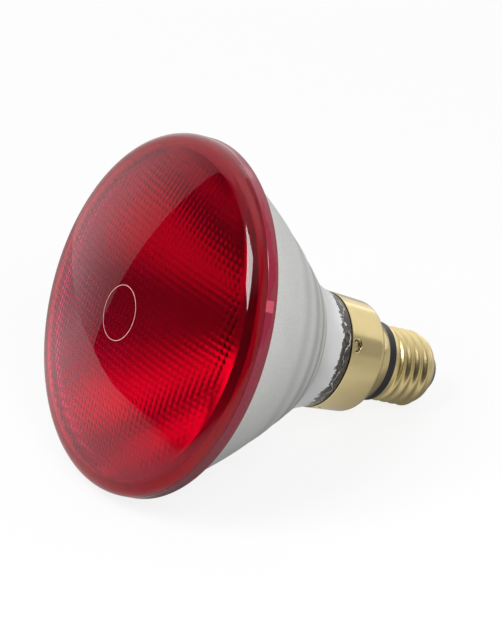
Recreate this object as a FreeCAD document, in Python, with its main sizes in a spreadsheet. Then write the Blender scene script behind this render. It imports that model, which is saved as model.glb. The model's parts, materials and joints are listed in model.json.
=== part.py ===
"""Infrared heat lamp bulb: red pressed-glass reflector lamp with a skirted screw cap.

Every piece is drawn about the lamp's own axis, with height 0 at the cap's contact and the lens at
the top. One shared placement then lays the lamp down as it rests on a table: on the edge of its rim
and on the last full turn of its thread, cap towards +X.
"""
import FreeCAD, Part
import math
import os
import re

import Sketcher

# Driving sizes in millimetres and degrees: name, value, what it measures.
SIZES = (
    ("rim_radius", 60.5, "outside of the lens rim and of the bowl's flange"),
    ("rim_land", 5.5, "width of the ring on which lens and bowl are fused"),
    ("seam_chamfer", 0.15, "small bevel either side of the fused seam"),
    ("lens_band", 0.2, "straight part of the lens rim"),
    ("lens_shoulder", 6.5, "rounding from the rim into the dome"),
    ("lens_rise", 15.05, "seam to the top of the dome"),
    ("lens_wall", 4.0, "glass thickness of the dome"),
    ("lens_draft", 1.2, "slope of the lens rim's inner wall"),
    ("flange_height", 4.1, "bowl flange, seam to its rear edge"),
    ("flange_step", 2.3, "flange beyond the bowl's outside"),
    ("bowl_height", 45.35, "flange's rear edge to the start of the neck"),
    ("bowl_curve", 264.0, "radius of the bowl's outside, seen in section"),
    ("bowl_wall", 2.6, "glass thickness of bowl and neck"),
    ("first_ring_rise", 2.7, "neck to the first ring moulded in the bowl"),
    ("first_ring_depth", 0.4, "first moulded ring, into the glass"),
    ("first_ring_round", 5.0, "first moulded ring, radius in section"),
    ("second_ring_rise", 8.5, "neck to the second moulded ring"),
    ("second_ring_depth", 0.3, "second moulded ring, into the glass"),
    ("second_ring_round", 20.0, "second moulded ring, radius in section"),
    ("third_ring_rise", 18.2, "neck to the third moulded ring"),
    ("third_ring_depth", 0.18, "third moulded ring, into the glass"),
    ("third_ring_round", 56.0, "third moulded ring, radius in section"),
    ("neck_top_radius", 27.75, "outside of the bowl where the neck starts"),
    ("bowl_lip", 0.6, "ledge of the bowl over the neck"),
    ("neck_height", 16.95, "start of the neck to the step above the cap"),
    ("neck_radius", 19.95, "outside of the neck just above the cap"),
    ("neck_sunk", 11.5, "length of neck inside the cap"),
    ("neck_clearance", 0.25, "room between neck and cap"),
    ("mouth_radius", 20.25, "cap skirt, outside at its mouth"),
    ("mouth_gap", 0.3, "skirt's mouth to the step of the neck"),
    ("skirt_radius", 19.4, "cap skirt, outside at its shoulder"),
    ("skirt_height", 16.15, "cap skirt, mouth to shoulder"),
    ("skirt_shoulder", 3.0, "rounding of the skirt's shoulder"),
    ("skirt_wall", 0.35, "sheet thickness of the skirt"),
    ("collar_radius", 14.0, "narrow end of the skirt, outside"),
    ("collar_height", 5.4, "narrow end of the skirt, shoulder to ring"),
    ("collar_round", 1.2, "inside corner between shoulder and narrow end"),
    ("dimple_drop", 2.55, "mouth to the middle of the punched dimples"),
    ("dimple_angle", 28.0, "turn of the first dimple"),
    ("dimple_length", 4.0, "dimple, round the skirt"),
    ("dimple_width", 2.6, "dimple, along the skirt"),
    ("dimple_depth", 0.8, "dimple, into the skirt"),
    ("dimple_count", 4, "dimples round the skirt"),
    ("ring_radius", 13.8, "insulating ring, outside"),
    ("ring_height", 3.1, "part of the insulating ring that shows"),
    ("ring_sleeve", 3.0, "insulating ring, length inside the skirt"),
    ("ring_bore", 11.55, "insulating ring, inside"),
    ("fit_clearance", 0.1, "room between parts that slide into each other"),
    ("shell_wall", 0.35, "sheet thickness of the screw shell at its root"),
    ("shell_collar_radius", 13.35, "plain top of the screw shell, outside"),
    ("shell_collar_height", 1.4, "plain top of the screw shell"),
    ("thread_mean_radius", 12.65, "screw thread, halfway between crest and root"),
    ("thread_half_depth", 0.55, "screw thread, half of its depth"),
    ("thread_pitch", 3.629, "screw thread, seven turns to the inch"),
    ("thread_turns", 4, "turns of the thread with their run-outs"),
    ("shell_end_height", 2.6, "rounded end of the screw shell"),
    ("shell_end_radius", 10.2, "opening at the end of the screw shell, outside"),
    ("insulator_height", 3.4, "glass end insulator, part that shows"),
    ("insulator_nose", 7.0, "radius of the insulator's flat end"),
    ("insulator_bore", 1.1, "hole for the contact's stud"),
    ("contact_radius", 4.8, "centre contact"),
    ("contact_height", 1.0, "thickness of the centre contact"),
    ("contact_round", 0.4, "rounded edge of the centre contact"),
    ("solder_radius", 2.6, "solder drop on the contact"),
    ("solder_height", 0.9, "rise of the solder drop"),
    ("stem_flare_height", 2.0, "edge of the stem's flare under the neck"),
    ("stem_rise", 13.0, "flare to the top of the stem's tube"),
    ("stem_radius", 6.4, "stem tube, outside"),
    ("stem_wall", 1.5, "glass thickness of the stem"),
    ("press_height", 8.0, "flattened top of the stem"),
    ("press_width", 13.0, "flattened top of the stem"),
    ("press_depth", 5.0, "flattened top of the stem"),
    ("exhaust_radius", 2.2, "exhaust tube, outside"),
    ("exhaust_bore", 1.2, "exhaust tube, inside"),
    ("exhaust_length", 27.0, "exhaust tube with its sealed tip"),
    ("wire_radius", 0.45, "lead wires"),
    ("wire_offset", 3.45, "lead wires from the axis, inside the stem"),
    ("filament_level", 6.5, "press to the middle of the filament"),
    ("filament_arc", 9.0, "radius of the filament's half circle"),
    ("filament_radius", 0.8, "outside radius of the wound filament"),
    ("rod_radius", 1.4, "glass support rod"),
    ("button_radius", 2.3, "knob on top of the support rod"),
    ("button_height", 2.6, "knob on top of the support rod"),
    ("support_radius", 0.3, "filament support wires"),
    ("support_reach", 10.2, "support wires, from the axis to their tips"),
    ("touch_gap", 0.05, "room between parts that only touch"),
)
STEPS_PER_TURN = 8
RUN_OUT_STEPS = 3

doc = FreeCAD.newDocument("heat_lamp")
sizes = doc.addObject("Spreadsheet::Sheet", "sizes")
for row, (size_name, value, note) in enumerate(SIZES, start=1):
    sizes.set(f"A{row}", size_name)
    sizes.set(f"B{row}", str(value))
    sizes.set(f"C{row}", note)
    sizes.setAlias(f"B{row}", size_name)
doc.recompute()

SIZE_NAMES = {entry[0] for entry in SIZES}


def bound(text):
    """The expression with each size's name pointing at its cell."""
    return re.sub(r"[a-z_]+", lambda m: "sizes." + m[0] if m[0] in SIZE_NAMES else m[0], text)


def number(text):
    """What an expression comes to now."""
    found = sizes.evalExpression(bound(text))
    return float(getattr(found, "Value", found))


# Heights along the axis, from the contact upwards.
CONTACT_BASE = "solder_height"
CONTACT_TOP = f"({CONTACT_BASE} + contact_height)"
SHELL_END = f"({CONTACT_TOP} + insulator_height)"
THREAD_BASE = f"({SHELL_END} + shell_end_height)"
THREAD_TOP = f"({THREAD_BASE} + thread_turns * thread_pitch)"
SHELL_COLLAR = f"({THREAD_TOP} + shell_collar_radius - thread_mean_radius + thread_half_depth)"
SHELL_TOP = f"({SHELL_COLLAR} + shell_collar_height)"
RING_TOP = f"({SHELL_TOP} + ring_height)"
SHOULDER = f"({RING_TOP} + collar_height)"
MOUTH = f"({SHOULDER} + skirt_height)"
NECK_STEP = f"({MOUTH} + mouth_gap)"
NECK_END = f"({MOUTH} - neck_sunk)"
NECK_TOP = f"({NECK_STEP} + neck_height)"
FLANGE = f"({NECK_TOP} + bowl_height)"
SEAM = f"({FLANGE} + flange_height)"
LENS_TOP = f"({SEAM} + lens_rise)"
DIMPLE = f"({MOUTH} - dimple_drop)"
STEM_BASE = f"({NECK_END} - stem_flare_height)"
STEM_TOP = f"({NECK_END} + stem_rise)"
PRESS_TOP = f"({STEM_TOP} + press_height)"
FILAMENT = f"({PRESS_TOP} + filament_level)"
SUPPORT = f"({FILAMENT} - filament_radius - support_radius - touch_gap)"

# Dome of the lens: a sphere that runs smoothly into the rounded shoulder of the rim.
SHOULDER_RADIUS = "(rim_radius - lens_shoulder)"
SHOULDER_LEVEL = f"({SEAM} + lens_band)"
DOME_RISE = "(lens_rise - lens_band)"
DOME = (
    f"(({DOME_RISE}^2 + {SHOULDER_RADIUS}^2 - lens_shoulder^2) / (2 * ({DOME_RISE} - lens_shoulder)))"
)
DOME_CENTRE = f"({LENS_TOP} - {DOME})"
DOME_SHARE = f"({DOME} / ({DOME} - lens_shoulder))"
LAND = "(rim_radius - rim_land)"

# Bowl and neck: two arcs that meet without a corner. Angles are slopes against the axis.
BOWL_RADIUS = "(rim_radius - flange_step)"
BOWL_CHORD = f"hypot({BOWL_RADIUS} - neck_top_radius; bowl_height)"
BOWL_LEAN = f"atan2({BOWL_RADIUS} - neck_top_radius; bowl_height)"
BOWL_HALF_TURN = f"asin({BOWL_CHORD} / (2 * bowl_curve))"
BOWL_SLOPE = f"({BOWL_LEAN} - {BOWL_HALF_TURN})"
NECK_SLOPE = f"({BOWL_LEAN} + {BOWL_HALF_TURN})"
BOWL_CENTRE = (
    f"(neck_top_radius - bowl_curve * cos({NECK_SLOPE}))",
    f"({NECK_TOP} + bowl_curve * sin({NECK_SLOPE}))",
)
NECK_CHORD = "hypot(neck_top_radius - neck_radius; neck_height)"
NECK_LEAN = "atan2(neck_top_radius - neck_radius; neck_height)"
NECK_CURVE = f"({NECK_CHORD} / (2 * sin({NECK_SLOPE} - {NECK_LEAN})))"
STEP_SLOPE = f"(2 * {NECK_LEAN} - {NECK_SLOPE})"

# Cap skirt: its slow taper, also followed by the glass inside it.
TAPER = "((mouth_radius - skirt_radius) / (skirt_height - skirt_shoulder))"


def skirt_at(level):
    """The skirt's outside radius at a height between its shoulder and its mouth."""
    return f"(mouth_radius - {TAPER} * ({MOUTH} - {level}))"


def glass_at(level):
    """The neck's outside radius at a height inside the skirt."""
    return f"({skirt_at(level)} - skirt_wall - neck_clearance)"


# How the lamp lies: rear edge of the rim and the last full thread crest touch the table.
CREST = "(thread_mean_radius + thread_half_depth)"
CREST_LEVEL = f"({THREAD_BASE} + {RUN_OUT_STEPS} / {STEPS_PER_TURN} * thread_pitch)"
RIM_EDGE = f"({FLANGE} + seam_chamfer)"
LEAN = f"atan2(rim_radius - {CREST}; {RIM_EDGE} - {CREST_LEVEL})"
LENS_REACH = f"({SHOULDER_LEVEL} * cos({LEAN}) + {SHOULDER_RADIUS} * sin({LEAN}) + lens_shoulder)"
CAP_REACH = (
    f"((contact_radius - contact_round) * sin({LEAN})"
    f" - ({CONTACT_BASE} + contact_round) * cos({LEAN}) + contact_round)"
)
LYING = {
    "Rotation.Angle": f"90 deg - {LEAN}",
    "Base.x": f"({LENS_REACH} - {CAP_REACH}) / 2",
    "Base.z": f"rim_radius * cos({LEAN}) - {RIM_EDGE} * sin({LEAN})",
}

bodies = []


def new_body(label):
    """A body for one piece of the lamp."""
    body = doc.addObject("PartDesign::Body", label)
    body.Label = label
    bodies.append(body)
    return body


def plane(body, role):
    return next(item for item in body.Origin.OriginFeatures if item.Role == role)


def new_sketch(body, name, role, level=None, turn=0.0):
    """A sketch on one of the body's own planes, lifted to a height if one is given."""
    sketch = body.newObject("Sketcher::SketchObject", name)
    sketch.AttachmentSupport = [(plane(body, role), "")]
    sketch.MapMode = "FlatFace"
    if turn:
        sketch.AttachmentOffset = FreeCAD.Placement(
            FreeCAD.Vector(), FreeCAD.Rotation(FreeCAD.Vector(0, 0, 1), turn)
        )
    if level is not None:
        sketch.setExpression("AttachmentOffset.Base.z", bound(level))
    return sketch


def arc_between(start, end, radius, side):
    """The short arc from start to end; its centre is left (+1) or right (-1) of the way there."""
    run = end - start
    middle = (start + end) * 0.5
    rise = math.sqrt(max(radius**2 - run.Length**2 / 4, 0.0))
    left = FreeCAD.Vector(-run.y, run.x, 0).normalize()
    centre = middle + left * (rise * side)
    first, last = (start, end) if side > 0 else (end, start)
    angles = [math.atan2((p - centre).y, (p - centre).x) for p in (first, last)]
    circle = Part.Circle(centre, FreeCAD.Vector(0, 0, 1), radius)
    return Part.ArcOfCircle(circle, angles[0], angles[1])


def pin_point(sketch, geometry, place, point):
    """Holds one end of an edge at a pair of expressions."""
    for kind, text, axis in (("DistanceX", point[0], -2), ("DistanceY", point[1], -1)):
        if text == "0":
            sketch.addConstraint(Sketcher.Constraint("PointOnObject", geometry, place, axis))
            continue
        held = Sketcher.Constraint(kind, -1, 1, geometry, place, number(text))
        sketch.setExpression(f"Constraints[{sketch.addConstraint(held)}]", bound(text))


def draw(sketch, points, arcs=None, closed=True):
    """Draws an outline through points given as expressions, some of its edges as arcs.

    An arc is listed under the number of the point it starts from, as (radius, side).
    """
    arcs = arcs or {}
    at = [FreeCAD.Vector(number(x), number(y), 0) for x, y in points]
    count = len(points) if closed else len(points) - 1
    ends = []
    for i in range(count):
        start, end = at[i], at[(i + 1) % len(at)]
        if i in arcs:
            radius, side = arcs[i]
            edge = sketch.addGeometry(arc_between(start, end, number(radius), side), False)
            ends.append((edge, 1, 2) if side > 0 else (edge, 2, 1))
        else:
            edge = sketch.addGeometry(Part.LineSegment(start, end), False)
            ends.append((edge, 1, 2))
    for i in range(count):
        if closed or i + 1 < count:
            following = ends[(i + 1) % count]
            joined = Sketcher.Constraint("Coincident", ends[i][0], ends[i][2], following[0], following[1])
            sketch.addConstraint(joined)
        pin_point(sketch, ends[i][0], ends[i][1], points[i])
    if not closed:
        pin_point(sketch, ends[-1][0], ends[-1][2], points[-1])
    for i, (radius, _) in arcs.items():
        held = Sketcher.Constraint("Radius", ends[i][0], number(radius))
        sketch.setExpression(f"Constraints[{sketch.addConstraint(held)}]", bound(radius))


def draw_circle(sketch, centre, radius):
    """A circle whose centre and radius are expressions."""
    at = FreeCAD.Vector(number(centre[0]), number(centre[1]), 0)
    circle = Part.Circle(at, FreeCAD.Vector(0, 0, 1), number(radius))
    edge = sketch.addGeometry(circle, False)
    pin_point(sketch, edge, 3, centre)
    held = Sketcher.Constraint("Radius", edge, number(radius))
    sketch.setExpression(f"Constraints[{sketch.addConstraint(held)}]", bound(radius))


def draw_slot(sketch, half_straight, radius):
    """A level slot with round ends; its two end centres lie either side of the sketch's origin."""
    reach, end = number(half_straight), number(radius)
    up = FreeCAD.Vector(0, 0, 1)
    quarter = math.pi / 2
    right = Part.Circle(FreeCAD.Vector(reach, 0, 0), up, end)
    left = Part.Circle(FreeCAD.Vector(-reach, 0, 0), up, end)
    edges = (
        Part.ArcOfCircle(right, -quarter, quarter),
        Part.LineSegment(FreeCAD.Vector(reach, end, 0), FreeCAD.Vector(-reach, end, 0)),
        Part.ArcOfCircle(left, quarter, 3 * quarter),
        Part.LineSegment(FreeCAD.Vector(-reach, -end, 0), FreeCAD.Vector(reach, -end, 0)),
    )
    loop = [sketch.addGeometry(edge, False) for edge in edges]
    for i, edge in enumerate(loop):
        sketch.addConstraint(Sketcher.Constraint("Tangent", edge, 2, loop[(i + 1) % 4], 1))
    for edge, side in ((loop[0], ""), (loop[2], "-")):
        pin_point(sketch, edge, 3, (f"{side}{half_straight}", "0"))
        held = Sketcher.Constraint("Radius", edge, end)
        sketch.setExpression(f"Constraints[{sketch.addConstraint(held)}]", bound(radius))


def revolve(body, name, points, arcs=None, kind="PartDesign::Revolution", angle=360.0):
    """Turns a half section, given as (radius, height) points, about the lamp's axis."""
    sketch = new_sketch(body, name + "_section", "XZ_Plane")
    draw(sketch, points, arcs)
    feature = body.newObject(kind, name)
    feature.Profile = sketch
    feature.ReferenceAxis = (sketch, ["V_Axis"])
    feature.Angle = angle
    return feature


def make_lens():
    """Red lens: shallow dome, rounded shoulder and a flat land fused to the bowl."""
    body = new_body("lens")
    tangent = (
        f"{SHOULDER_RADIUS} * {DOME_SHARE}",
        f"{DOME_CENTRE} + ({SHOULDER_LEVEL} - {DOME_CENTRE}) * {DOME_SHARE}",
    )
    inner_dome = f"({DOME} - lens_wall)"
    inner_corner = f"({LAND} - lens_draft)"
    points = [
        ("0", LENS_TOP),
        ("0", f"{LENS_TOP} - lens_wall"),
        (inner_corner, f"{DOME_CENTRE} + sqrt({inner_dome}^2 - {inner_corner}^2)"),
        (LAND, SEAM),
        ("rim_radius - seam_chamfer", SEAM),
        ("rim_radius", f"{SEAM} + seam_chamfer"),
        ("rim_radius", SHOULDER_LEVEL),
        tangent,
    ]
    arcs = {1: (inner_dome, -1), 6: ("lens_shoulder", 1), 7: (DOME, 1)}
    revolve(body, "dome", points, arcs)


def make_reflector():
    """Bowl and neck, pressed in one: flange, ringed bowl, waisted neck with a groove for the cap."""
    body = new_body("reflector")

    def inside(radius, level, slope):
        return (f"{radius} - bowl_wall * cos({slope})", f"{level} + bowl_wall * sin({slope})")

    groove_half = "(dimple_width / 2 + skirt_wall + neck_clearance)"
    groove_low = f"({DIMPLE} - {groove_half})"
    groove_high = f"({DIMPLE} + {groove_half})"
    groove_depth = "(dimple_depth - neck_clearance + fit_clearance)"
    points = [
        (LAND, SEAM),
        inside(BOWL_RADIUS, FLANGE, BOWL_SLOPE),
        inside("neck_top_radius", NECK_TOP, NECK_SLOPE),
        inside("neck_radius", NECK_STEP, STEP_SLOPE),
        (f"{glass_at(NECK_END)} - bowl_wall", NECK_END),
        (glass_at(NECK_END), NECK_END),
        (glass_at(groove_low), groove_low),
        (f"{glass_at(groove_low)} - {groove_depth}", groove_low),
        (f"{glass_at(groove_low)} - {groove_depth}", groove_high),
        (glass_at(groove_high), groove_high),
        (glass_at(NECK_STEP), NECK_STEP),
        ("neck_radius", NECK_STEP),
        ("neck_top_radius - bowl_lip", NECK_TOP),
        ("neck_top_radius", NECK_TOP),
        (BOWL_RADIUS, FLANGE),
        ("rim_radius - seam_chamfer", FLANGE),
        ("rim_radius", RIM_EDGE),
        ("rim_radius", f"{SEAM} - seam_chamfer"),
        ("rim_radius - seam_chamfer", SEAM),
    ]
    arcs = {
        1: ("bowl_curve - bowl_wall", -1),
        2: (f"{NECK_CURVE} + bowl_wall", 1),
        11: (NECK_CURVE, -1),
        13: ("bowl_curve", 1),
    }
    revolve(body, "bowl", points, arcs)
    for name in ("first_ring", "second_ring", "third_ring"):
        mould_ring(body, name)


def mould_ring(body, name):
    """A shallow round groove in the bowl's outside, at its own rise above the neck."""
    turn = f"asin((bowl_curve * sin({NECK_SLOPE}) - {name}_rise) / bowl_curve)"
    reach = f"(bowl_curve + {name}_round - {name}_depth)"
    centre = (f"{BOWL_CENTRE[0]} + {reach} * cos({turn})", f"{BOWL_CENTRE[1]} - {reach} * sin({turn})")
    sketch = new_sketch(body, name + "_section", "XZ_Plane")
    draw_circle(sketch, centre, f"{name}_round")
    feature = body.newObject("PartDesign::Groove", name)
    feature.Profile = sketch
    feature.ReferenceAxis = (sketch, ["V_Axis"])
    feature.Angle = 360.0


def make_skirt():
    """Drawn brass skirt of the cap, held on the neck by dimples punched into the neck's groove."""
    body = new_body("cap_skirt")
    turn_in = "(skirt_radius - skirt_shoulder)"
    turn_out = "(collar_radius + collar_round)"
    points = [
        ("mouth_radius", MOUTH),
        ("mouth_radius - skirt_wall", MOUTH),
        ("skirt_radius - skirt_wall", f"{SHOULDER} + skirt_shoulder"),
        (turn_in, f"{SHOULDER} + skirt_wall"),
        (turn_out, f"{SHOULDER} + skirt_wall"),
        ("collar_radius - skirt_wall", f"{SHOULDER} - collar_round"),
        ("collar_radius - skirt_wall", RING_TOP),
        ("collar_radius", RING_TOP),
        ("collar_radius", f"{SHOULDER} - collar_round"),
        (turn_out, SHOULDER),
        (turn_in, SHOULDER),
        ("skirt_radius", f"{SHOULDER} + skirt_shoulder"),
    ]
    arcs = {
        2: ("skirt_shoulder - skirt_wall", -1),
        4: ("collar_round + skirt_wall", 1),
        8: ("collar_round", -1),
        10: ("skirt_shoulder", 1),
    }
    revolve(body, "sheet", points, arcs)
    inner_face = f"({skirt_at(DIMPLE)} - skirt_wall - dimple_depth)"
    pattern_round(body, make_dimple(body, "bump", "Pad", inner_face, "skirt_wall"))
    proud_face = f"({skirt_at(DIMPLE)} + skirt_wall / 2)"
    pattern_round(body, make_dimple(body, "dent", "Pocket", proud_face, "0"))


def make_dimple(body, name, kind, radius, grown):
    """A short slot that faces outwards: the bump inside the sheet or the dent punched in it."""
    sketch = new_sketch(body, name + "_slot", "XZ_Plane")
    turned = FreeCAD.Rotation(FreeCAD.Vector(0, 1, 0), number("dimple_angle + 90"))
    sketch.AttachmentOffset = FreeCAD.Placement(FreeCAD.Vector(), turned)
    sketch.setExpression("AttachmentOffset.Rotation.Angle", bound("(dimple_angle + 90) * 1 deg"))
    sketch.setExpression("AttachmentOffset.Base.x", bound(f"{radius} * cos(dimple_angle)"))
    sketch.setExpression("AttachmentOffset.Base.y", bound(DIMPLE))
    sketch.setExpression("AttachmentOffset.Base.z", bound(f"-{radius} * sin(dimple_angle)"))
    draw_slot(sketch, "(dimple_length - dimple_width) / 2", f"(dimple_width / 2 + {grown})")
    feature = body.newObject(f"PartDesign::{kind}", name)
    feature.Profile = sketch
    feature.setExpression("Length", bound("dimple_depth + skirt_wall / 2"))
    return feature


def pattern_round(body, feature):
    """Repeats a feature evenly round the lamp's axis."""
    doc.recompute()
    pattern = body.newObject("PartDesign::PolarPattern", feature.Name + "s")
    pattern.Originals = [feature]
    pattern.Axis = (plane(body, "Z_Axis"), [""])
    pattern.Angle = 360.0
    pattern.setExpression("Occurrences", bound("dimple_count"))
    body.Tip = pattern


def make_ring():
    """Black ring that keeps skirt and screw shell apart, with a sleeve inside both."""
    body = new_body("insulating_ring")
    upper = "(collar_radius - skirt_wall - fit_clearance)"
    lower = "(shell_collar_radius - shell_wall - fit_clearance)"
    points = [
        ("ring_bore", f"{SHELL_COLLAR} + fit_clearance"),
        (lower, f"{SHELL_COLLAR} + fit_clearance"),
        (lower, SHELL_TOP),
        ("ring_radius", SHELL_TOP),
        ("ring_radius", RING_TOP),
        (upper, RING_TOP),
        (upper, f"{RING_TOP} + ring_sleeve"),
        ("ring_bore", f"{RING_TOP} + ring_sleeve"),
    ]
    revolve(body, "ring", points)


SHELL_BORE = "(thread_mean_radius - thread_half_depth - shell_wall)"
LIP_BORE = "(shell_end_radius - shell_wall)"


def make_screw_shell():
    """Brass screw shell with its rolled, rounded thread.

    Every level cut of such a thread is the same circle, and its centre walks round a small helix:
    the thread is a loft over a stack of those circles, which shrink onto the root at both ends.
    """
    body = new_body("screw_shell")
    root = "(thread_mean_radius - thread_half_depth)"
    core = f"({SHELL_BORE} + shell_wall / 2)"
    outside = [
        ("0", SHELL_END),
        ("shell_end_radius", SHELL_END),
        (root, THREAD_BASE),
        (core, THREAD_BASE),
        (core, THREAD_TOP),
        (root, THREAD_TOP),
        ("shell_collar_radius", SHELL_COLLAR),
        ("shell_collar_radius", SHELL_TOP),
        ("0", SHELL_TOP),
    ]
    revolve(body, "core", outside, {1: ("2 * shell_end_height", 1)})
    sections = []
    steps = STEPS_PER_TURN * int(number("thread_turns"))
    for step in range(steps + 1):
        share = min(step, steps - step, RUN_OUT_STEPS) / RUN_OUT_STEPS
        angle = 180 + 360 / STEPS_PER_TURN * (step - RUN_OUT_STEPS)
        level = f"{THREAD_BASE} + {step} / {STEPS_PER_TURN} * thread_pitch"
        ring = new_sketch(body, f"thread_{step}", "XY_Plane", level)
        offset = [f"{share} * thread_half_depth * {trig}({angle})" for trig in ("cos", "sin")]
        centre = [text if abs(number(text)) > 1e-6 else "0" for text in offset]
        draw_circle(ring, centre, f"thread_mean_radius - {1 - share} * thread_half_depth")
        sections.append(ring)
    thread = body.newObject("PartDesign::AdditiveLoft", "thread")
    thread.Profile = sections[0]
    thread.Sections = sections[1:]
    thread.Ruled = True
    inside = [
        ("0", SHELL_END),
        (LIP_BORE, SHELL_END),
        (SHELL_BORE, THREAD_BASE),
        (SHELL_BORE, THREAD_TOP),
        ("shell_collar_radius - shell_wall", SHELL_COLLAR),
        ("shell_collar_radius - shell_wall", SHELL_TOP),
        ("0", SHELL_TOP),
    ]
    revolve(body, "hollow", inside, kind="PartDesign::Groove")


def make_end_insulator():
    """Black glass cone that closes the end of the screw shell."""
    body = new_body("end_insulator")
    points = [
        ("insulator_bore", CONTACT_TOP),
        ("insulator_nose", CONTACT_TOP),
        (LIP_BORE, SHELL_END),
        (SHELL_BORE, THREAD_BASE),
        ("insulator_bore", THREAD_BASE),
    ]
    revolve(body, "cone", points)


def make_contact():
    """Centre contact: a flat disc with a stud through the insulator, and a drop of solder."""
    body = new_body("centre_contact")
    stud = "(insulator_bore - touch_gap)"
    points = [
        ("0", CONTACT_BASE),
        ("contact_radius - contact_round", CONTACT_BASE),
        ("contact_radius", f"{CONTACT_BASE} + contact_round"),
        ("contact_radius", CONTACT_TOP),
        (stud, CONTACT_TOP),
        (stud, THREAD_BASE),
        ("0", THREAD_BASE),
    ]
    revolve(body, "disc", points, {1: ("contact_round", 1)})
    drop = new_body("contact_solder")
    curve = "((solder_radius^2 + solder_height^2) / (2 * solder_height))"
    points = [("0", "0"), ("solder_radius", CONTACT_BASE), ("0", CONTACT_BASE)]
    revolve(drop, "drop", points, {0: (curve, 1)})


def make_stem():
    """Glass stem: flare under the neck, tube, and the flattened press that grips the leads."""
    body = new_body("stem")
    rim = glass_at(NECK_END)
    under = f"({rim} - bowl_wall)"
    points = [
        (f"{under} - stem_wall", STEM_BASE),
        (rim, STEM_BASE),
        (rim, NECK_END),
        (under, NECK_END),
        ("stem_radius", f"{NECK_END} + {under} - stem_radius"),
        ("stem_radius", STEM_TOP),
        ("0", STEM_TOP),
        ("0", f"{STEM_TOP} - stem_wall"),
        ("stem_radius - stem_wall", f"{STEM_TOP} - stem_wall"),
        ("stem_radius - stem_wall", f"{STEM_BASE} + {under} - stem_radius"),
    ]
    bend = f"({under} - stem_radius)"
    revolve(body, "flare", points, {3: (bend, -1), 9: (bend, 1)})
    sketch = new_sketch(body, "press_outline", "XY_Plane", STEM_TOP)
    half_width, half_depth = "press_width / 2", "press_depth / 2"
    corners = [
        (f"-{half_width}", f"-{half_depth}"),
        (half_width, f"-{half_depth}"),
        (half_width, half_depth),
        (f"-{half_width}", half_depth),
    ]
    draw(sketch, corners)
    press = body.newObject("PartDesign::Pad", "press")
    press.Profile = sketch
    press.setExpression("Length", bound("press_height"))
    doc.recompute()
    before = body.Shape.Volume
    holes = new_sketch(body, "lead_holes_outline", "XY_Plane", PRESS_TOP)
    for side in ("-", ""):
        draw_circle(holes, (f"{side}wire_offset", "0"), "wire_radius + touch_gap")
    pocket = body.newObject("PartDesign::Pocket", "lead_holes")
    pocket.Profile = holes
    pocket.setExpression("Length", bound("press_height + stem_wall + touch_gap"))
    doc.recompute()
    if body.Shape.Volume >= before:
        raise RuntimeError("the lead holes cut nothing")


def make_exhaust_tube():
    """Thin glass tube through which the lamp was pumped, sealed at its tip."""
    body = new_body("exhaust_tube")
    top = f"({STEM_TOP} - stem_wall)"
    tip = f"({top} - exhaust_length)"
    points = [
        ("0", tip),
        ("exhaust_radius", f"{tip} + exhaust_radius"),
        ("exhaust_radius", top),
        ("exhaust_bore", top),
        ("exhaust_bore", f"{tip} + 2 * exhaust_radius"),
        ("0", f"{tip} + 2 * exhaust_radius - exhaust_bore"),
    ]
    revolve(body, "tube", points, {0: ("exhaust_radius", 1), 4: ("exhaust_bore", -1)})


def make_lead(label, side, lower_points):
    """A lead wire: up through the press, then bent outwards to one end of the filament."""
    body = new_body(label)
    upper_points = [
        (f"{side}wire_offset", f"{PRESS_TOP} + 2 * wire_radius"),
        (f"{side}filament_arc", f"{FILAMENT} - filament_radius - 2 * filament_radius"),
        (f"{side}filament_arc", f"{FILAMENT} - filament_radius - touch_gap"),
    ]
    path = new_sketch(body, label + "_path", "XZ_Plane")
    draw(path, lower_points + upper_points, closed=False)
    section = new_sketch(body, label + "_section", "XY_Plane", lower_points[0][1])
    draw_circle(section, (lower_points[0][0], "0"), "wire_radius")
    pipe = body.newObject("PartDesign::AdditivePipe", label + "_wire")
    pipe.Profile = section
    pipe.Spine = (path, [])
    pipe.Transition = "Right corner"


def make_leads():
    """One lead runs down to the centre contact, the other bends out to the screw shell."""
    below = f"({STEM_BASE} - 2 * wire_radius)"
    contact_stud = f"{THREAD_BASE} + touch_gap"
    make_lead(
        "contact_lead",
        "",
        [
            ("0", contact_stud),
            ("0", f"{contact_stud} + 3 * wire_radius"),
            ("wire_offset", f"{contact_stud} + 3 * wire_radius + wire_offset"),
        ],
    )
    beside = f"(ring_bore - wire_radius - touch_gap)"
    make_lead(
        "shell_lead",
        "-",
        [
            (f"-{beside}", f"{THREAD_TOP} - 4 * wire_radius"),
            (f"-{beside}", f"{RING_TOP} + ring_sleeve"),
            ("-wire_offset", below),
        ],
    )


def make_filament():
    """Wound filament bent to a half circle between the two leads."""
    body = new_body("filament")
    sketch = new_sketch(body, "filament_section", "XZ_Plane")
    draw_circle(sketch, ("filament_arc", FILAMENT), "filament_radius")
    coil = body.newObject("PartDesign::Revolution", "half_circle")
    coil.Profile = sketch
    coil.ReferenceAxis = (sketch, ["V_Axis"])
    coil.Angle = 180.0


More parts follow.
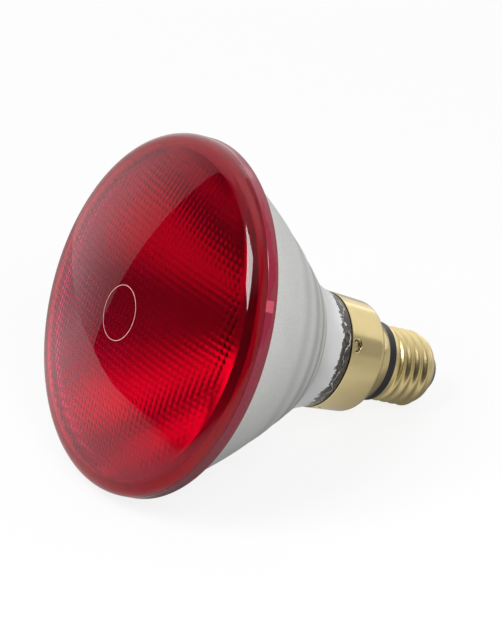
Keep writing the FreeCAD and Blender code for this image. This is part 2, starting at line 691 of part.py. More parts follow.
def make_supports():
    """Glass rod with its knob, and three wires that carry the filament."""
    rod = new_body("support_rod")
    knob = f"({SUPPORT} - button_height / 2)"
    points = [
        ("0", PRESS_TOP),
        ("rod_radius", PRESS_TOP),
        ("rod_radius", knob),
        ("button_radius", knob),
        ("button_radius", f"{knob} + button_height"),
        ("0", f"{knob} + button_height"),
    ]
    revolve(rod, "rod", points)
    for i, angle in enumerate((45, 90, 135), start=1):
        body = new_body(f"support_wire_{i}")
        wire = body.newObject("PartDesign::AdditiveCylinder", f"support_{i}")
        wire.setExpression("Radius", bound("support_radius"))
        wire.setExpression("Height", bound("support_reach - button_radius - touch_gap"))
        aim = FreeCAD.Vector(math.cos(math.radians(angle)), math.sin(math.radians(angle)), 0)
        wire.Placement.Rotation = FreeCAD.Rotation(FreeCAD.Vector(0, 0, 1), aim)
        wire.setExpression("Placement.Base.x", bound(f"(button_radius + touch_gap) * cos({angle})"))
        wire.setExpression("Placement.Base.y", bound(f"(button_radius + touch_gap) * sin({angle})"))
        wire.setExpression("Placement.Base.z", bound(SUPPORT))


def lay_down():
    """Turns every piece from its own axis to the way the lamp lies."""
    for body in bodies:
        body.Placement = FreeCAD.Placement(
            FreeCAD.Vector(), FreeCAD.Rotation(FreeCAD.Vector(0, -1, 0), 60.0)
        )
        for path, text in LYING.items():
            body.setExpression("Placement." + path, bound(text))


def write_parts():
    """Checks every object of the document, then writes one file for each piece."""
    doc.recompute()
    failed = [item.Name for item in doc.Objects if {"Invalid", "Error"} & set(item.State)]
    failed += [b.Label for b in bodies if b.Shape.isNull() or not b.Shape.isValid()]
    if failed:
        raise RuntimeError("failed: " + ", ".join(failed))
    os.makedirs("parts", exist_ok=True)
    for body in bodies:
        body.Shape.exportStep(f"parts/{body.Label}.step")
        print(body.Label, len(body.Shape.Solids), round(body.Shape.Volume, 1))


make_lens()
make_reflector()
make_skirt()
make_ring()
make_screw_shell()
make_end_insulator()
make_contact()
make_stem()
make_exhaust_tube()
make_leads()
make_filament()
make_supports()
lay_down()
write_parts()
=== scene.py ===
"""Infrared heat lamp bulb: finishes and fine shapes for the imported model, with its stage."""
import json
import math
from types import SimpleNamespace

import bpy
from mathutils import Matrix, Vector


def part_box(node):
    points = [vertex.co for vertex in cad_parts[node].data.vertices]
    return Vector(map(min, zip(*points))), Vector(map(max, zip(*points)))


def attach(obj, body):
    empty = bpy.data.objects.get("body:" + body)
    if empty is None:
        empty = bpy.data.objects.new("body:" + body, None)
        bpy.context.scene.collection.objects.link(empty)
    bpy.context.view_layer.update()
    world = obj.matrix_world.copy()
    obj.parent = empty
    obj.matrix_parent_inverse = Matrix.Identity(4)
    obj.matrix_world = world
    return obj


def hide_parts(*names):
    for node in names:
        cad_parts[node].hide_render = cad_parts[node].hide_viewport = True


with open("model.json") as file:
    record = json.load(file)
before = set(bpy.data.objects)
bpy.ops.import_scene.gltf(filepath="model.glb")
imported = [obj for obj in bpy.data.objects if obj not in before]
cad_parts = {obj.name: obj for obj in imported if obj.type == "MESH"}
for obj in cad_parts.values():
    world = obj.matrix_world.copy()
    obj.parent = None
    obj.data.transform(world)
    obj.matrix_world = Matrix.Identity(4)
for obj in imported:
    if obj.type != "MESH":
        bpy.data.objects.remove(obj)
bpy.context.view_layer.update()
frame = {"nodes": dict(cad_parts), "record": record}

bl_info = {
    "name": "Heat lamp bulb",
    "version": (1, 0, 0),
    "blender": (4, 5, 0),
    "location": "3D View > Sidebar > Heat lamp",
    "description": "Builds a red reflector heat lamp with a skirted screw cap and its studio stage",
    "category": "Object",
}

MM = 0.001
WHITE = (1.0, 1.0, 1.0)
# Corners nearer than this, in metres, become one
MERGE = 0.5e-6
MOUNTS = {mount["name"]: mount for mount in frame["record"]["mounts"]}
CAP_OUT = Vector(MOUNTS["screw_cap"]["axis"]).normalized()
CAP_END = Vector(MOUNTS["screw_cap"]["pos_m"])

# Soft rings in the bowl: millimetres above the neck, half width in millimetres, share of the full depth and
# of the painted shade in them
RINGS = ((2.7, 1.4, 1.0), (8.5, 2.6, 0.75), (18.2, 3.4, 0.45))


def half_width(node):
    """A round node's radius: its box is as wide across the lamp as its largest circle."""
    low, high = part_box(node)
    return (high[1] - low[1]) / 2


def length(name, default, description):
    return bpy.props.FloatProperty(
        name=name, description=description, default=default, unit="LENGTH", precision=5
    )


def mm(name, size, description):
    return length(name, size * MM, description)


def amount(name, default, description):
    return bpy.props.FloatProperty(name=name, description=description, default=default)


def bearing(name, degrees, description):
    return bpy.props.FloatProperty(
        name=name, description=description, default=math.radians(degrees), subtype="ANGLE"
    )


def count(name, default, description):
    return bpy.props.IntProperty(name=name, description=description, default=default)


def colour(name, default, description):
    return bpy.props.FloatVectorProperty(
        name=name, description=description, default=default, subtype="COLOR", size=3, min=0.0, max=1.0
    )


class LampSizes(bpy.types.PropertyGroup):
    """Radii, and heights along the lamp's axis from the tip of its contact."""

    rim: length("Rim", half_width("lens"), "Outside radius of the lens rim")
    land: length("Land", half_width("lens") - 5.5 * MM, "Inside radius of the fused ring")
    shoulder: mm("Lens shoulder", 6.5, "Rounding from the rim into the dome")
    band: mm("Lens band", 0.2, "Straight part of the lens rim")
    rise: mm("Lens rise", 15.05, "Seam to the top of the dome")
    lens_wall: mm("Lens wall", 4.0, "Glass thickness of the lens")
    prism: mm("Prism pitch", 2.2, "Spacing of the prisms inside the lens")
    prism_depth: mm("Prism depth", 0.14, "Height of the prisms inside the lens")
    seam_bevel: mm("Seam bevel", 0.15, "Bevel either side of the seam")
    flange: mm("Flange", 4.1, "Height of the bowl's flange")
    flange_step: mm("Flange step", 2.3, "Flange beyond the bowl")
    bowl: mm("Bowl", 45.35, "Height of the bowl")
    bowl_curve: mm("Bowl curve", 264.0, "Radius of the bowl's outside in section")
    wall: mm("Bowl wall", 2.6, "Glass thickness of bowl and neck")
    bowl_step: mm("Bowl step", 0.6, "Frosted bowl over the neck")
    ring_depth: mm("Ring depth", 0.4, "Depth of the deepest ring by the neck")
    neck_top: mm("Neck top", 27.75, "Outside radius where the neck starts")
    neck: mm("Neck", 16.95, "Height of the neck above the cap")
    neck_radius: mm("Neck radius", 19.95, "Outside radius just above the cap")
    neck_sunk: mm("Neck in the cap", 11.5, "Length of neck inside the cap")
    mouth: length("Skirt mouth", half_width("cap_skirt"), "Outside radius of the skirt's mouth")
    mouth_gap: mm("Mouth gap", 0.3, "Skirt's mouth to the step of the neck")
    skirt: mm("Skirt", 19.4, "Outside radius of the skirt at its shoulder")
    skirt_height: mm("Skirt height", 16.15, "Skirt's mouth to its shoulder")
    skirt_round: mm("Skirt round", 3.0, "Rounding of the skirt's shoulder")
    sheet: mm("Sheet", 0.35, "Thickness of the brass sheet")
    collar: mm("Collar", 14.0, "Narrow end of the skirt")
    collar_height: mm("Collar height", 5.4, "Length of the skirt's narrow end")
    collar_round: mm("Collar round", 1.2, "Inside corner of the collar")
    dimple_room: mm("Dimple room", 0.6, "Neck set back behind the dimples")
    dimple: mm("Dimple", 1.35, "Depth of the dimples")
    dimple_drop: mm("Dimple drop", 2.55, "Skirt's mouth to the middle of the dimples")
    ring: length("Ring", half_width("insulating_ring"), "Outside radius of the insulating ring")
    ring_height: mm("Ring height", 3.1, "Part of the ring that shows")
    top_collar: length("Screw collar", half_width("screw_shell"), "Plain top of the screw shell")
    top_collar_height: mm("Screw collar height", 1.4, "Plain top of the screw shell")
    thread: mm("Thread", 12.65, "Mean radius of the thread")
    thread_half: mm("Half thread depth", 0.55, "Half of the thread's depth")
    pitch: mm("Pitch", 3.629, "Height of one turn of the thread")
    screw_end: mm("Screw end", 2.6, "Rounded end of the screw shell")
    screw_lip: mm("Screw lip", 10.2, "Opening at the end of the screw shell")
    cone: mm("Insulator", 3.4, "Part of the end insulator that shows")
    cone_nose: mm("Insulator nose", 7.0, "Flat end of the insulator")
    contact: length("Contact", half_width("centre_contact"), "Radius of the centre contact")
    contact_height: mm("Contact height", 1.0, "Thickness of the centre contact")
    drop: length("Solder", half_width("contact_solder"), "Radius of the solder drop")
    drop_height: mm("Solder height", 0.9, "Rise of the solder drop")
    filament_arc: mm("Filament arc", 9.0, "Radius of the filament's half circle")
    filament: mm("Filament", 0.8, "Outside radius of the wound filament")
    filament_wire: mm("Filament wire", 0.1, "Radius of the filament's wire")
    filament_rise: mm("Filament rise", 27.5, "End of the neck to the middle of the filament")
    filament_turns: count("Filament turns", 52, "Turns of the wound filament")
    print_drop: mm("Print drop", -1.55, "Printed ring off the axis, along the lens")
    print_side: mm("Print side", 1.69, "Printed ring off the axis, across the lens")
    turns: count("Turns", 4, "Turns of the thread")
    dimple_turn: bearing("Dimple turn", 28, "Angle of the first dimple")


class LampColours(bpy.types.PropertyGroup):
    """Colours of the finishes."""

    lens: colour("Lens", (0.92, 0.001, 0.125), "Red of the lens glass")
    lens_edge: colour("Lens edge", (0.60, 0.0012, 0.055), "Hazy inner edge of the lens")
    flange: colour("Flange", (0.30, 0.004, 0.036), "Red coat on the bowl's flange")
    joint: colour("Joint", (0.50, 0.05, 0.06), "Fused joint seen through the lens")
    flange_pale: colour("Pale flange", (0.27, 0.028, 0.045), "Ground edge of the flange")
    frost: colour("Frost", (0.78, 0.785, 0.76), "Frosted outside of the bowl")
    silver: colour("Silver", (0.93, 0.94, 0.94), "Mirror coat seen through the neck")
    band: colour("Dark band", (0.032, 0.026, 0.018), "Bare glass above the cap")
    brass: colour("Brass", (0.80, 0.65, 0.33), "Polished brass")
    black: colour("Black", (0.016, 0.016, 0.018), "Insulators")
    solder: colour("Solder", (0.55, 0.56, 0.58), "Solder and wires")
    print_ring: colour("Printed ring", (0.80, 0.42, 0.38), "Ring printed on the lens")


class StageSettings(bpy.types.PropertyGroup):
    """Camera, floor and lamps."""

    azimuth: bearing("Azimuth", -28.89, "Camera round the object")
    elevation: bearing("Elevation", 26.88, "Camera over the floor")
    distance: length("Distance", 1.046, "Camera to the point it looks at")
    target: bpy.props.FloatVectorProperty(
        name="Look at", description="Point the camera looks at", default=(-0.00443, -0.00219, 0.04674), size=3
    )
    focal: amount("Focal length", 176.0, "Camera lens in mm")
    world: amount("World", 0.12, "Light from all round on matt surfaces")
    walls: amount("Walls", 0.36, "Walls of the room, seen by way of the lens")
    ceiling: amount("Ceiling", 1.35, "Ceiling, seen by way of the lens")
    window: amount("Window", 3.2, "Bright patch, seen by way of the lens")
    dark_side: amount("Dark side", 0.02, "Dark side of the room in reflections")
    light_side: amount("Light side", 0.7, "Light side of the room in reflections")
    overhead: amount("Overhead", 0.38, "Ceiling in reflections")


def settings():
    scene = bpy.context.scene
    return scene.lamp_sizes, scene.lamp_colours, scene.lamp_stage


def levels(s):
    """Heights of the main edges above the contact's tip."""
    at = SimpleNamespace(contact=s.drop_height)
    at.contact_top = at.contact + s.contact_height
    at.screw_end = at.contact_top + s.cone
    at.thread = at.screw_end + s.screw_end
    at.thread_top = at.thread + s.turns * s.pitch
    at.screw_collar = at.thread_top + s.top_collar - s.thread + s.thread_half
    at.screw_top = at.screw_collar + s.top_collar_height
    at.ring_top = at.screw_top + s.ring_height
    at.shoulder = at.ring_top + s.collar_height
    at.mouth = at.shoulder + s.skirt_height
    at.neck_step = at.mouth + s.mouth_gap
    at.neck_end = at.mouth - s.neck_sunk
    at.neck_top = at.neck_step + s.neck
    at.flange = at.neck_top + s.bowl
    at.seam = at.flange + s.flange
    at.lens_top = at.seam + s.rise
    return at


def lamp_matrix():
    """From the lamp's own axis, contact at 0 and lens up, to the way it lies."""
    s, _, _ = settings()
    up = -CAP_OUT
    across = Vector((0.0, 1.0, 0.0))
    side = across.cross(up)
    turn = Matrix((side, across, up)).transposed().to_4x4()
    tip = CAP_END - up * levels(s).screw_end
    return Matrix.Translation(tip) @ turn


# Modelling helpers


def arc(centre, radius, start, end, steps):
    """Points on an arc, angles in degrees from the radius towards the lens."""
    turns = [math.radians(start + (end - start) * i / steps) for i in range(steps + 1)]
    return [(centre[0] + radius * math.cos(a), centre[1] + radius * math.sin(a)) for a in turns]


def arc_through(start, end, radius, side, steps):
    """Points on the short arc between two points; its centre is left (+1) or right (-1)."""
    a, b = Vector(start), Vector(end)
    run = b - a
    rise = math.sqrt(radius**2 - run.length**2 / 4)
    centre = (a + b) / 2 + Vector((-run.y, run.x)).normalized() * rise * side
    first = math.atan2(*(a - centre).yx)
    sweep = 2 * math.asin(run.length / (2 * radius)) * side
    turns = [first + sweep * i / steps for i in range(steps + 1)]
    return [tuple(centre + radius * Vector((math.cos(turn), math.sin(turn)))) for turn in turns]


def mode(name):
    bpy.ops.object.mode_set(mode=name)


def pick(action):
    """Selects or deselects all of the mesh in edit mode."""
    bpy.ops.mesh.select_all(action=action)


def deselect():
    """Leaves no object selected."""
    bpy.ops.object.select_all(action="DESELECT")


def close_mesh():
    """Merges corners that meet and turns all faces outward; all is left selected."""
    pick("SELECT")
    bpy.ops.mesh.remove_doubles(threshold=MERGE)
    bpy.ops.mesh.normals_make_consistent(inside=False)


def draw_chain(points):
    """Starts a mesh as a chain of points, left in edit mode and all selected."""
    deselect()
    bpy.ops.mesh.primitive_plane_add(size=MM)
    mode("EDIT")
    bpy.ops.mesh.merge(type="CENTER")
    points = [Vector(point) for point in points]
    bpy.ops.transform.translate(value=points[0])
    for was, now in zip(points, points[1:]):
        bpy.ops.mesh.extrude_vertices_move(TRANSFORM_OT_translate={"value": now - was})
    pick("SELECT")


def spin_profile(points, closed=True, steps=160):
    """Spins an outline of radii and heights to a closed mesh, left in edit mode and all selected."""
    draw_chain([(r, 0.0, z) for r, z in (points + [points[0]] if closed else points)])
    bpy.ops.mesh.remove_doubles(threshold=MERGE)
    pick("SELECT")
    bpy.ops.mesh.spin(steps=steps, angle=2 * math.pi, center=(0, 0, 0), axis=(0, 0, 1))
    close_mesh()


def finish_piece(name, nodes, materials, smooth=40.0, paint=()):
    """Leaves edit mode, paints the piece, lays it down with the lamp and hands it to the frame."""
    if bpy.context.mode != "OBJECT":
        mode("OBJECT")
    piece = bpy.context.object
    piece.name = name
    piece.data.name = name
    for material in materials:
        piece.data.materials.append(material)
    for index, chosen in paint:
        paint_faces(piece, index, chosen)
    bpy.ops.object.shade_smooth_by_angle(angle=math.radians(smooth))
    piece.matrix_world = lamp_matrix()
    bpy.ops.object.transform_apply(location=True, rotation=True, scale=True)
    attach(piece, "root")
    if nodes:
        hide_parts(*nodes)
    return piece


def paint_faces(piece, index, chosen):
    """Gives one of the piece's materials to the faces whose middle, on the lamp's axis, is chosen."""
    for face in piece.data.polygons:
        x, y, z = face.center
        if chosen(math.hypot(x, y), z, face.normal):
            face.material_index = index


# Finishes


def put(node, values):
    """Feeds inputs of a node with links, numbers, colours or directions."""
    for key, value in values.items():
        socket = node.inputs[key]
        if hasattr(value, "links"):
            node.id_data.links.new(value, socket)
        elif isinstance(value, (int, float)):
            socket.default_value = value
        else:
            socket.default_value = (*value, 1.0)[:len(socket.default_value)]


def add_node(tree, kind, inputs=None, **fields):
    """Adds a node, sets its fields and feeds its inputs."""
    node = tree.nodes.new("ShaderNode" + kind)
    for name, value in fields.items():
        setattr(node, name, value)
    put(node, inputs or {})
    return node


def new_material(name):
    """A material, its node tree and its main shader."""
    material = bpy.data.materials.new(name)
    material.use_nodes = True
    return material, material.node_tree, material.node_tree.nodes["Principled BSDF"]


def lamp_material(name):
    """A new material, with the lamp's own coordinates."""
    material, tree, shader = new_material(name)
    place = add_node(tree, "TexCoord").outputs["Object"]
    back = lamp_matrix().inverted()
    turned = {"Vector": place, "Location": back.to_translation(), "Rotation": back.to_euler()}
    mapping = add_node(tree, "Mapping", turned, label="Lamp axis")
    return material, tree, shader, mapping.outputs["Vector"]


def math_node(tree, operation, *values):
    return add_node(tree, "Math", dict(enumerate(values)), operation=operation).outputs[0]


def times(tree, first, second):
    return math_node(tree, "MULTIPLY", first, second)


def plus(tree, first, second):
    return math_node(tree, "ADD", first, second)


def minus(tree, first, second):
    return math_node(tree, "SUBTRACT", first, second)


def noise_node(tree, vector, scale, detail=3.0, roughness=0.5):
    inputs = {"Vector": vector, "Scale": scale, "Detail": detail, "Roughness": roughness}
    return add_node(tree, "TexNoise", inputs).outputs["Fac"]


def ramp_node(tree, value, low, high, start, end):
    """Maps a value from low..high to start..end, held at both ends."""
    inputs = {"Value": value, "From Min": low, "From Max": high, "To Min": start, "To Max": end}
    return add_node(tree, "MapRange", inputs, clamp=True).outputs["Result"]


def mix_node(tree, factor, first, second):
    """Mixes two colours, given as values or as sockets."""
    return add_node(tree, "Mix", {0: factor, 6: first, 7: second}, data_type="RGBA").outputs[2]


def bump_node(tree, height, strength, distance, shader):
    node = add_node(tree, "Bump", {"Strength": strength, "Distance": distance, "Height": height})
    put(shader, {"Normal": node.outputs["Normal"]})


def scaled(rgb, factor):
    return tuple(min(channel * factor, 1.0) for channel in rgb)


def uneven_group():
    """Shared node group: gives a colour and a roughness a slight, cloudy unevenness."""
    name = "uneven_finish"
    if name in bpy.data.node_groups:
        return bpy.data.node_groups[name]
    group = bpy.data.node_groups.new(name, "ShaderNodeTree")
    kinds = {"Vector": "Vector", "Colour": "Color", "Scale": "Float", "Spread": "Float", "Roughness": "Float"}
    for label, kind in kinds.items():
        group.interface.new_socket(name=label, in_out="INPUT", socket_type=f"NodeSocket{kind}")
    for label, kind in (("Colour", "Color"), ("Roughness", "Float"), ("Height", "Float")):
        group.interface.new_socket(name=label, in_out="OUTPUT", socket_type=f"NodeSocket{kind}")
    given = group.nodes.new("NodeGroupInput").outputs
    result = group.nodes.new("NodeGroupOutput")
    cloud = noise_node(group, given["Vector"], given["Scale"])
    swing = times(group, minus(group, cloud, 0.5), given["Spread"])
    share = plus(group, swing, 1.0)
    tint = add_node(group, "VectorMath", operation="SCALE")
    put(tint, {0: given["Colour"], "Scale": share})
    rough = times(group, given["Roughness"], share)
    put(result, {"Colour": tint.outputs["Vector"], "Roughness": rough, "Height": cloud})
    return group


def uneven(tree, shader, where, rgb, scale, spread, rough):
    """Adds the shared unevenness to a material; the colour is a value or a socket. Returns its height."""
    inputs = {"Vector": where, "Colour": rgb, "Scale": scale, "Spread": spread, "Roughness": rough}
    found = add_node(tree, "Group", inputs, node_tree=uneven_group()).outputs
    put(shader, {"Base Color": found["Colour"], "Roughness": found["Roughness"]})
    return found["Height"]


def split_axis(tree, where):
    """Height on the lamp's axis, and the angle round it."""
    apart = add_node(tree, "SeparateXYZ", {0: where}).outputs
    return apart["Z"], math_node(tree, "ARCTAN2", apart["Y"], apart["X"])


def along(tree, vector, direction):
    """How far a vector reaches along a direction."""
    inputs = {0: vector, 1: Vector(direction).normalized()}
    return add_node(tree, "VectorMath", inputs, operation="DOT_PRODUCT").outputs["Value"]


def away_from(tree, vector, point):
    """Distance of a vector from a point."""
    return add_node(tree, "VectorMath", {0: vector, 1: point}, operation="DISTANCE").outputs["Value"]


def band_mask(tree, value, centre, half, soft):
    """1 within half of the centre, falling to 0 over soft."""
    offset = math_node(tree, "ABSOLUTE", minus(tree, value, centre))
    return ramp_node(tree, offset, half, half + soft, 1.0, 0.0)


def glass(name, rgb, rough, clear=1.0):
    """Glass, a little uneven, and milky where it isn't wholly clear."""
    material, tree, shader, where = lamp_material(name)
    uneven(tree, shader, where, rgb, 60.0, 0.12, rough)
    put(shader, {"Transmission Weight": clear, "IOR": 1.5})
    return material


def plain_finish(name, rgb, rough, metallic, scale, spread=0.6):
    """An opaque finish with the shared unevenness."""
    material, tree, shader, where = lamp_material(name)
    height = uneven(tree, shader, where, rgb, scale, spread, rough)
    put(shader, {"Metallic": metallic})
    bump_node(tree, height, 0.1, 0.0001, shader)
    return material


def flange_coat(colours, at):
    """Red coat of the flange: clear by the seam, ground and finely ribbed at its rear with painted shade in
    the ribs, and with one bare spot.
    """
    material, tree, shader, where = lamp_material("red_flange_coat")
    height, angle = split_axis(tree, where)
    middle = (at.flange + at.seam) / 2
    wander = ramp_node(tree, noise_node(tree, where, 75.0), 0.3, 0.7, -0.0011, 0.0011)
    shifted = plus(tree, height, wander)
    ground = ramp_node(tree, shifted, middle - 0.0002, middle + 0.0004, 1.0, 0.0)
    ribs = math_node(tree, "SINE", times(tree, angle, 620.0))
    ribbed = times(tree, ribs, ground)
    tint = mix_node(tree, ground, colours.flange, colours.flange_pale)
    # Painted shade: the rib troughs are painted darker.
    shade = ramp_node(tree, ribbed, -1.0, 1.0, 0.0, 0.35)
    tint = mix_node(tree, shade, tint, scaled(colours.flange_pale, 0.5))
    spot = band_mask(tree, angle, math.radians(-63.9), 0.029, 0.004)
    upper = ramp_node(tree, height, middle - 0.0009, middle - 0.0007, 0.0, 1.0)
    spot = times(tree, times(tree, spot, upper), 0.8)
    tint = mix_node(tree, spot, tint, (0.62, 0.09, 0.14))
    uneven(tree, shader, where, tint, 900.0, 0.5, ramp_node(tree, ground, 0.0, 1.0, 0.12, 0.42))
    put(shader, {"Coat Weight": 0.28, "Coat Roughness": 0.12})
    bump_node(tree, ribbed, 0.35, 0.0001, shader)
    return material


def frosted(colours, at):
    """Frosted outside of the bowl: fine grain, faint clouds, and painted shade in the rings by the neck."""
    material, tree, shader, where = lamp_material("frosted_bowl")
    cloud = ramp_node(tree, noise_node(tree, where, 45.0), 0.35, 0.65, 0.0, 1.0)
    tint = mix_node(tree, cloud, colours.frost, scaled(colours.frost, 0.93))
    height, _ = split_axis(tree, where)
    # Painted shade: the rings by the neck are painted darker, the deepest ring most.
    painted_ring_shade = 0.0
    for place, width, share in RINGS:
        away = math_node(tree, "DIVIDE", minus(tree, height, at.neck_top + place * MM), width * MM)
        dip = math_node(tree, "EXPONENT", times(tree, math_node(tree, "POWER", away, 2.0), -1.0))
        painted_ring_shade = plus(tree, painted_ring_shade, times(tree, dip, 0.45 * share))
    tint = mix_node(tree, painted_ring_shade, tint, scaled(colours.frost, 0.12))
    height = uneven(tree, shader, where, tint, 1700.0, 0.42, 0.62)
    bump_node(tree, height, 0.3, 0.0001, shader)
    return material


def mirror_coat(colours, name, share):
    """Aluminium mirror inside the glass, a share as bright as silver."""
    material, tree, shader, where = lamp_material(name)
    uneven(tree, shader, where, scaled(colours.silver, share), 200.0, 0.1, 0.20)
    put(shader, {"Metallic": 1.0})
    return material


def neck_glass(colours, at):
    """Silvered neck: the silver ends in a ragged edge above the cap, with bare dark glass below; a thin
    painted highlight runs round the dark glass, and painted shade darkens the neck just under the bowl's
    step.
    """
    material, tree, shader, where = lamp_material("neck_glass")
    height, _ = split_axis(tree, where)
    wide = ramp_node(tree, noise_node(tree, where, 70.0, 2.0), 0.3, 0.7, -0.0016, 0.0016)
    ragged = ramp_node(tree, noise_node(tree, where, 420.0, 4.0, 0.65), 0.3, 0.7, -0.0011, 0.0011)
    shifted = plus(tree, height, plus(tree, wide, ragged))
    edge = at.mouth + 4.9 * MM
    silvered = ramp_node(tree, shifted, edge - 0.00012, edge + 0.00012, 0.0, 1.0)
    soft = ramp_node(tree, shifted, edge - 0.0009, edge + 0.0006, 0.0, 1.0)
    flow = noise_node(tree, where, 500.0, 3.0)
    mottle = ramp_node(tree, flow, 0.45, 0.7, 0.0, 1.0)
    dark = mix_node(tree, mottle, colours.band, scaled(colours.band, 3.5))
    # A thin painted highlight, broken here and there, runs round the dark glass.
    sway = ramp_node(tree, noise_node(tree, where, 190.0, 3.0), 0.3, 0.7, -0.0018, 0.0018)
    course = plus(tree, height, sway)
    painted_highlight_line = band_mask(tree, course, at.mouth + 2.6 * MM, 0.00008, 0.00012)
    broken = ramp_node(tree, noise_node(tree, where, 300.0), 0.42, 0.5, 0.0, 1.0)
    dark = mix_node(tree, times(tree, painted_highlight_line, broken), dark, (0.72, 0.70, 0.66))
    dark = mix_node(tree, times(tree, soft, 0.35), dark, (0.25, 0.22, 0.19))
    tint = mix_node(tree, silvered, dark, colours.silver)
    # Painted shade: the neck is darkened just under the step of the bowl.
    corner = ramp_node(tree, height, at.neck_top - 1.5 * MM, at.neck_top - 0.8 * MM, 0.0, 0.75)
    tint = mix_node(tree, corner, tint, (0.10, 0.09, 0.08))
    uneven(tree, shader, where, tint, 120.0, 0.12, ramp_node(tree, silvered, 0.0, 1.0, 0.16, 0.32))
    put(shader, {"Metallic": times(tree, silvered, 0.35), "Coat Weight": 0.15, "Coat Roughness": 0.06})
    rough = times(tree, flow, minus(tree, 1.0, silvered))
    bump_node(tree, rough, 0.5, 0.0008, shader)
    return material


def brass(rgb, name, smoothest, dullest):
    """Pale brass with faint drawing lines round the axis."""
    material, tree, shader, where = lamp_material(name)
    stretch = add_node(tree, "Mapping", {"Vector": where, "Scale": (40.0, 40.0, 2500.0)})
    lines = noise_node(tree, stretch.outputs["Vector"], 1.0, 2.0)
    rough = ramp_node(tree, lines, 0.3, 0.7, smoothest, dullest)
    uneven(tree, shader, where, rgb, 160.0, 0.16, rough)
    put(shader, {"Metallic": 1.0})
    bump_node(tree, lines, 0.03, 0.0001, shader)
    return material


# Shapes shared by pieces


def dome(s, at):
    """Radius and centre height of the lens's outer sphere."""
    rise = s.rise - s.band
    across = s.rim - s.shoulder
    radius = (rise**2 + across**2 - s.shoulder**2) / (2 * (rise - s.shoulder))
    return radius, at.lens_top - radius


def bowl_slopes(s):
    """Slopes of the outside at the bowl's rim, the neck's top and the neck's foot, and the neck's curve."""
    bowl_radius = s.rim - s.flange_step
    lean = math.atan2(bowl_radius - s.neck_top, s.bowl)
    half_turn = math.asin(math.hypot(bowl_radius - s.neck_top, s.bowl) / (2 * s.bowl_curve))
    neck_lean = math.atan2(s.neck_top - s.neck_radius, s.neck)
    neck_chord = math.hypot(s.neck_top - s.neck_radius, s.neck)
    neck_curve = neck_chord / (2 * math.sin(lean + half_turn - neck_lean))
    return lean - half_turn, lean + half_turn, 2 * neck_lean - lean - half_turn, neck_curve


class LAMP_OT_lens(bpy.types.Operator):
    """Red lens with its field of prisms inside and a plain printed ring outside"""

    bl_idname = "lamp.lens"
    bl_label = "Lens"

    def execute(self, context):
        s, colours, _ = settings()
        at = levels(s)
        radius, centre = dome(s, at)
        inner = radius - s.lens_wall
        field, haze, turn_down = s.land - 0.8 * MM, s.land - 0.5 * MM, s.land - 0.4 * MM
        reach, steep = field - 0.1 * MM, 0.3
        tangent = math.degrees(math.acos((s.rim - s.shoulder) / (radius - s.shoulder)))
        outline = [(r, centre + math.sqrt(inner**2 - r**2)) for r in (field, turn_down)]
        foot = at.seam - 0.05 * MM
        outline += [(s.land, foot), (s.rim - s.seam_bevel, foot), (s.rim, at.seam + s.seam_bevel)]
        outline += arc((s.rim - s.shoulder, at.seam + s.band), s.shoulder, 0.0, tangent, 10)
        outline += arc((0.0, centre), radius, tangent, 90.0, 30)[1:]
        spin_profile(outline, closed=False, steps=192)
        shell = bpy.context.object
        mode("OBJECT")

        cells, parts = 2 * math.ceil(field / s.prism), 4
        cuts = cells * parts
        deselect()
        bpy.ops.mesh.primitive_grid_add(x_subdivisions=cuts, y_subdivisions=cuts, size=cells * s.prism)
        prisms = bpy.context.object
        mode("EDIT")
        pick("DESELECT")
        mode("OBJECT")
        for face in prisms.data.polygons:
            face.select = any(prisms.data.vertices[i].co.xy.length > field for i in face.vertices)
        mode("EDIT")
        bpy.ops.mesh.delete(type="FACE")
        pick("DESELECT")
        bpy.ops.mesh.select_non_manifold()
        mode("OBJECT")
        for vertex in prisms.data.vertices:
            x, y = vertex.co.xy
            if vertex.select:
                x, y = vertex.co.xy.normalized() * reach
            u, v = (2 * ((c / s.prism) % 1.0) - 1 for c in (x, y))
            fade = min(1.0, (field - math.hypot(x, y)) / s.prism)
            swell = s.prism_depth * (1 - u * u) * (1 - v * v) * max(fade, 0.0)
            vertex.co = (x, y, centre + math.sqrt(inner**2 - x * x - y * y) - swell)

        deselect()
        prisms.select_set(True)
        shell.select_set(True)
        context.view_layer.objects.active = shell
        bpy.ops.object.join()
        mode("EDIT")
        bpy.ops.mesh.select_mode(type="EDGE")
        pick("DESELECT")
        bpy.ops.mesh.select_non_manifold()
        bpy.ops.mesh.bridge_edge_loops()
        pick("SELECT")
        bpy.ops.mesh.normals_make_consistent(inside=False)
        bpy.ops.mesh.select_mode(type="VERT")
        mode("OBJECT")
        finishes = [glass("red_lens_glass", colours.lens, 0.015)]
        finishes.append(glass("lens_edge", colours.lens_edge, 0.45, 0.95))
        edge = [(1, lambda r, z, n: haze < r < s.land and n.x * n.x + n.y * n.y > steep)]
        finish_piece("lens_glass", ["lens"], finishes, 16.0, edge)
        self.print_ring(s, colours, radius, centre)
        return {"FINISHED"}

    def print_ring(self, s, colours, radius, centre):
        """A thin plain ring printed on the middle of the lens."""
        outer, width, thick = 9.3 * MM, 0.25 * MM, 0.02 * MM
        corners = []
        for r, lift in ((outer, 0.0), (outer, thick), (outer - width, thick), (outer - width, 0.0)):
            corners.append((r, centre + math.sqrt((radius + lift) ** 2 - r**2)))
        spin_profile(corners, steps=120)
        mode("OBJECT")
        turn = Matrix.Rotation(s.print_drop / radius, 4, "Y") @ Matrix.Rotation(s.print_side / radius, 4, "X")
        middle = Matrix.Translation((0.0, 0.0, centre))
        bpy.context.object.data.transform(middle @ turn @ middle.inverted())
        ink = plain_finish("printed_ring", colours.print_ring, 0.5, 0.0, 900.0)
        finish_piece("lens_printed_ring", [], [ink])


